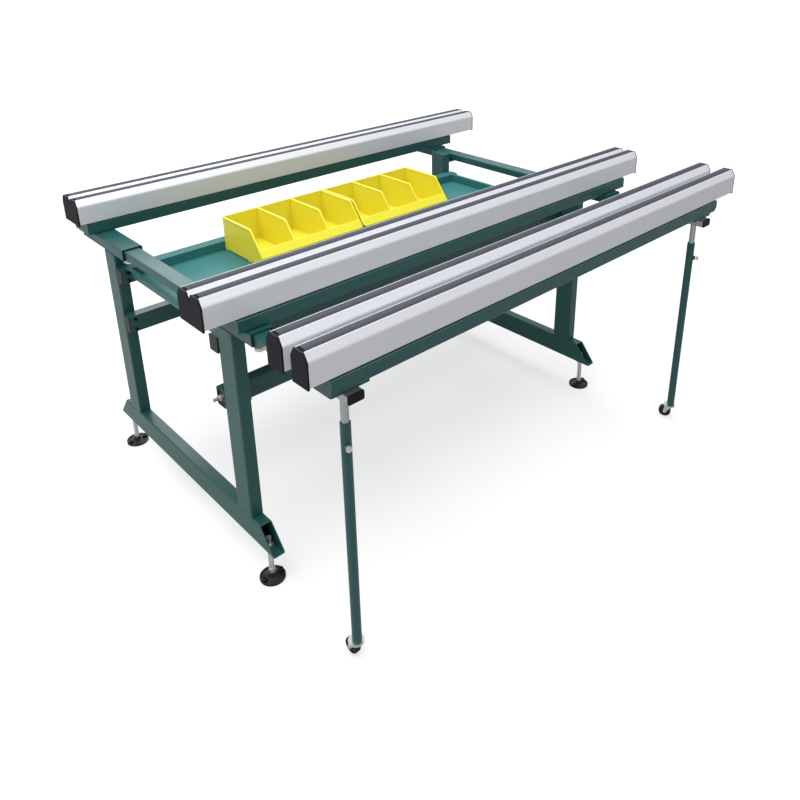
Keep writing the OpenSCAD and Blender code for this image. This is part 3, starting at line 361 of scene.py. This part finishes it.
class BENCH_OT_strips(bpy.types.Operator):
    """Finishes the grip strips in the grooves of the profiles"""
    bl_idname = "bench.strips"
    bl_label = "Grip strips"

    def execute(self, context):
        finishes = context.scene.bench_finishes
        dress(STRIPS, ribbed_strip("Soft PVC, extruded with ribs", hex_of(finishes.strip),
                                   finishes.rib_pitch))
        return {"FINISHED"}


class BENCH_OT_caps(bpy.types.Operator):
    """Finishes the end caps, the stretchers' plugs and the foot pads"""
    bl_idname = "bench.caps"
    bl_label = "Caps, plugs and pads"

    def execute(self, context):
        finishes = context.scene.bench_finishes
        dress(CAPS, moulded_plastic("Polyamide, moulded with a fine grain",
                                    hex_of(finishes.cap), roughness=0.55, grain_mm=1.2,
                                    strength=0.15, gloss=0.12))
        dress(PLUGS + PADS, moulded_plastic("Black polyethylene, moulded",
                                            hex_of(finishes.plug), roughness=0.45,
                                            grain_mm=1.2, strength=0.1))
        return {"FINISHED"}


class BENCH_OT_bins(bpy.types.Operator):
    """Finishes the two blocks of storage bins"""
    bl_idname = "bench.bins"
    bl_label = "Storage bins"

    def execute(self, context):
        finishes = context.scene.bench_finishes
        dress(BINS, moulded_plastic("Glossy polypropylene, moulded", hex_of(finishes.bin),
                                    roughness=0.3, grain_mm=3.0, strength=0.05))
        return {"FINISHED"}


class BENCH_OT_hardware(bpy.types.Operator):
    """Zinc-plates the slide tubes, stems, clamp screws and forks, and blackens the bolts"""
    bl_idname = "bench.hardware"
    bl_label = "Hardware"

    def execute(self, context):
        finishes = context.scene.bench_finishes
        dress(SLIDES, zinc_plate("Bright zinc plate on drawn tube", hex_of(finishes.tube),
                                 roughness=0.3))
        # The lighter zinc of the turned parts is painted light for the nuts in shade in the
        # feet.
        dress(HARDWARE, zinc_plate("Zinc plate on turned parts, lightened as painted light", hex_of(finishes.zinc),
                                   roughness=0.36))
        # The bright studs take the same zinc, lightened as painted light.
        dress(BOLTS, black_bolts("Black oxide on socket bolts, zinc on studs",
                                 hex_of(finishes.bolt), hex_of(finishes.zinc)))
        return {"FINISHED"}


class BENCH_OT_casters(bpy.types.Operator):
    """Finishes the caster wheels"""
    bl_idname = "bench.casters"
    bl_label = "Caster wheels"

    def execute(self, context):
        finishes = context.scene.bench_finishes
        dress(WHEELS, moulded_plastic("Solid rubber tread, moulded", hex_of(finishes.tyre),
                                      roughness=0.6, grain_mm=1.5, strength=0.2))
        return {"FINISHED"}


def area_lamp(name, place, target, size, power):
    """A square soft lamp at a place, aimed at a target."""
    light = bpy.data.lights.new(name, "AREA")
    light.shape = "SQUARE"
    light.size = size
    light.energy = power
    lamp = bpy.data.objects.new(name, light)
    bpy.context.scene.collection.objects.link(lamp)
    lamp.location = place
    aim = Vector(target) - Vector(place)
    lamp.rotation_euler = aim.to_track_quat("-Z", "Y").to_euler()
    return lamp


def seen_rays(tree):
    """1 for camera, glossy and transmission rays, 0 for the light that reaches the bench."""
    path = add_node(tree, "ShaderNodeLightPath")
    direct = add_node(tree, "ShaderNodeMath",
                      {0: path.outputs["Is Camera Ray"], 1: path.outputs["Is Glossy Ray"]},
                      operation="MAXIMUM")
    seen = add_node(tree, "ShaderNodeMath",
                    {0: direct.outputs[0], 1: path.outputs["Is Transmission Ray"]},
                    operation="MAXIMUM")
    return seen.outputs[0]


class BENCH_OT_stage(bpy.types.Operator):
    """Sets the pale floor, the soft lamps, the white room and the camera"""
    bl_idname = "bench.stage"
    bl_label = "Studio"

    def execute(self, context):
        scene = context.scene
        stage = scene.bench_stage
        self.floor(stage)
        key = area_lamp("Key lamp", place=(-0.5, 0.0, 4.5), target=(-0.2, 0.0, 0.6),
                        size=6.0, power=stage.key_power)
        fill = area_lamp("Fill lamp", place=(-5.0, -0.8, 2.2), target=(0.0, 0.0, 0.6),
                         size=4.0, power=stage.fill_power)
        back = area_lamp("Back lamp", place=(1.9, 5.0, 3.5), target=(-0.4, 0.0, 0.6),
                         size=3.8, power=stage.back_power)
        self.room(scene, stage.sky)
        self.camera(scene, stage.lens)
        scene.view_settings.view_transform = "Standard"
        return {"FINISHED"}

    def floor(self, stage):
        """A matt floor that looks white where no shadow falls on it."""
        half = stage.floor_size / 2
        mesh = bpy.data.meshes.new("Floor")
        mesh.from_pydata([(-half, -half, 0), (half, -half, 0), (half, half, 0),
                          (-half, half, 0)], [], [(0, 1, 2, 3)])
        floor = bpy.data.objects.new("Floor", mesh)
        bpy.context.scene.collection.objects.link(floor)
        floor.location.z = -FLOOR_GAP
        made, tree, out = new_material("Matt white studio floor")
        matt = add_node(tree, "ShaderNodeBsdfDiffuse", {"Color": linear(FLOOR_SHADE)})
        place = add_node(tree, "ShaderNodeTexCoord")
        reach = add_node(tree, "ShaderNodeVectorMath", {"Vector": place.outputs["Object"]},
                         operation="LENGTH")
        spread = add_node(tree, "ShaderNodeMapRange",
                          {"Value": reach.outputs["Value"], "From Min": NEAR_FLOOR,
                           "From Max": FAR_FLOOR, "To Min": NEAR_GLOW, "To Max": FAR_GLOW})
        path = add_node(tree, "ShaderNodeLightPath")
        level = add_node(tree, "ShaderNodeMapRange",
                         {"Value": path.outputs["Is Camera Ray"],
                          "To Min": MIRRORED_GLOW, "To Max": spread.outputs["Result"]})
        glow = add_node(tree, "ShaderNodeEmission",
                        {"Color": linear(WHITE), "Strength": level.outputs["Result"]})
        both = add_node(tree, "ShaderNodeAddShader", {0: matt.outputs[0], 1: glow.outputs[0]})
        pick = add_node(tree, "ShaderNodeMixShader",
                        {"Fac": seen_rays(tree), 1: matt.outputs[0], 2: both.outputs[0]})
        tree.links.new(pick.outputs[0], out.inputs["Surface"])
        mesh.materials.append(made)

    def room(self, scene, strength):
        """A white room: full white where it is seen, softer where it lights the bench."""
        world = bpy.data.worlds.new("White room")
        world.use_nodes = True
        scene.world = world
        tree = world.node_tree
        tree.nodes.clear()
        out = add_node(tree, "ShaderNodeOutputWorld")
        level = add_node(tree, "ShaderNodeMapRange",
                         {"Value": seen_rays(tree), "To Min": strength, "To Max": 1.0})
        back = add_node(tree, "ShaderNodeBackground",
                        {"Color": linear(WHITE), "Strength": level.outputs["Result"]})
        tree.links.new(back.outputs[0], out.inputs["Surface"])

    def camera(self, scene, lens):
        """The photograph's view: left of the bench, above it, looking down."""
        data = bpy.data.cameras.new("Camera")
        data.sensor_width = SENSOR_MM
        data.lens = lens
        data.shift_x, data.shift_y = CAMERA_SHIFT
        eye = bpy.data.objects.new("Camera", data)
        scene.collection.objects.link(eye)
        eye.location = CAMERA_PLACE
        eye.rotation_euler = [math.radians(angle) for angle in CAMERA_TURN]
        scene.camera = eye


class BENCH_PT_panel(bpy.types.Panel):
    """Lists the steps that dress the bench"""
    bl_idname = "BENCH_PT_panel"
    bl_label = "Assembly bench"
    bl_space_type = "VIEW_3D"
    bl_region_type = "UI"
    bl_category = "Bench"

    def draw(self, context):
        layout = self.layout
        for step in STEPS:
            layout.operator(step.bl_idname)
        for group in (context.scene.bench_finishes, context.scene.bench_stage):
            box = layout.box()
            for name in group.bl_rna.properties.keys():
                if name not in {"rna_type", "name"}:
                    box.prop(group, name)


STEPS = (
    BENCH_OT_frame, BENCH_OT_trays, BENCH_OT_profiles, BENCH_OT_strips, BENCH_OT_caps,
    BENCH_OT_bins, BENCH_OT_hardware, BENCH_OT_casters, BENCH_OT_stage,
)
CLASSES = (BenchFinishes, BenchStage) + STEPS + (BENCH_PT_panel,)


def register():
    """Registers the steps, the panel and the values that they read."""
    for cls in CLASSES:
        bpy.utils.register_class(cls)
    bpy.types.Scene.bench_finishes = bpy.props.PointerProperty(type=BenchFinishes)
    bpy.types.Scene.bench_stage = bpy.props.PointerProperty(type=BenchStage)


def unregister():
    """Takes back what register() added."""
    del bpy.types.Scene.bench_stage
    del bpy.types.Scene.bench_finishes
    for cls in reversed(CLASSES):
        bpy.utils.unregister_class(cls)


def main():
    """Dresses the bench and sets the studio."""
    register()
    bpy.ops.bench.frame()
    bpy.ops.bench.trays()
    bpy.ops.bench.profiles()
    bpy.ops.bench.strips()
    bpy.ops.bench.caps()
    bpy.ops.bench.bins()
    bpy.ops.bench.hardware()
    bpy.ops.bench.casters()
    bpy.ops.bench.stage()


if __name__ == "__main__":
    main()
